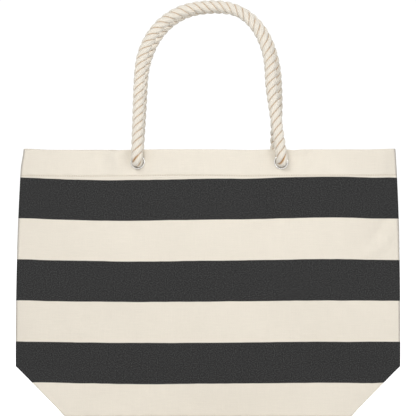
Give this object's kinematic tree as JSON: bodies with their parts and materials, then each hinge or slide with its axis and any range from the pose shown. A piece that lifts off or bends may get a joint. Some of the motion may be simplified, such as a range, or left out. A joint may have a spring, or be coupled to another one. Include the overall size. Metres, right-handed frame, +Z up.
{
  "type": "beach bag",
  "caption": "Boxed canvas tote with broad horizontal stripes, a stitched hem and two rope handles knotted inside metal eyelets.",
  "frame": {"origin": "centre of the base's underside, on the ground", "axes": "+Z up, -Y out of the front panel, +X to the right seen from the front"},
  "size_m": [0.55, 0.148, 0.5932],
  "materials": {
    "striped_canvas": "matt plain-weave cotton canvas, cream with broad charcoal stripes",
    "cream_canvas": "matt plain-weave cotton canvas, cream",
    "seam_binding": "matt folded cotton tape, cream",
    "sewing_thread": "cream cotton thread",
    "cotton_rope": "three-strand laid cotton rope, natural",
    "eyelet_metal": "bright polished silver-coloured plating"
  },
  "bodies": {
    "base": {"base_panel": "cream_canvas", "left_gusset": "cream_canvas", "right_gusset": "cream_canvas", "left_side_binding": "seam_binding", "right_side_binding": "seam_binding"},
    "front": {"front_panel": "striped_canvas", "front_hem_facing": "cream_canvas", "front_hem_stitch": "sewing_thread", "front_left_eyelet": "eyelet_metal", "front_right_eyelet": "eyelet_metal", "front_left_washer": "eyelet_metal", "front_right_washer": "eyelet_metal", "front_left_rope_end": "cotton_rope", "front_right_rope_end": "cotton_rope"},
    "back": {"back_panel": "striped_canvas", "back_hem_facing": "cream_canvas", "back_hem_stitch": "sewing_thread", "back_left_eyelet": "eyelet_metal", "back_right_eyelet": "eyelet_metal", "back_left_washer": "eyelet_metal", "back_right_washer": "eyelet_metal", "back_left_rope_end": "cotton_rope", "back_right_rope_end": "cotton_rope"},
    "front_handle_body": {"front_handle": "cotton_rope"},
    "back_handle_body": {"back_handle": "cotton_rope"}
  },
  "joints": [
    {"name": "front_panel_open", "type": "hinge", "parent": "base", "child": "front", "pos_m": [0, -0.07, 0], "axis": [1, 0, 0], "range_deg": [0, 8]},
    {"name": "back_panel_open", "type": "hinge", "parent": "base", "child": "back", "pos_m": [0, 0.07, 0], "axis": [1, 0, 0], "range_deg": [-8, 0]},
    {"name": "front_handle_swing", "type": "hinge", "parent": "front", "child": "front_handle_body", "pos_m": [0.00204, -0.06519, 0.3623], "axis": [1, 0, 0], "range_deg": [0, 165]},
    {"name": "back_handle_swing", "type": "hinge", "parent": "back", "child": "back_handle_body", "pos_m": [-0.00204, 0.06576, 0.3623], "axis": [1, 0, 0], "range_deg": [-165, 0]}
  ]
}
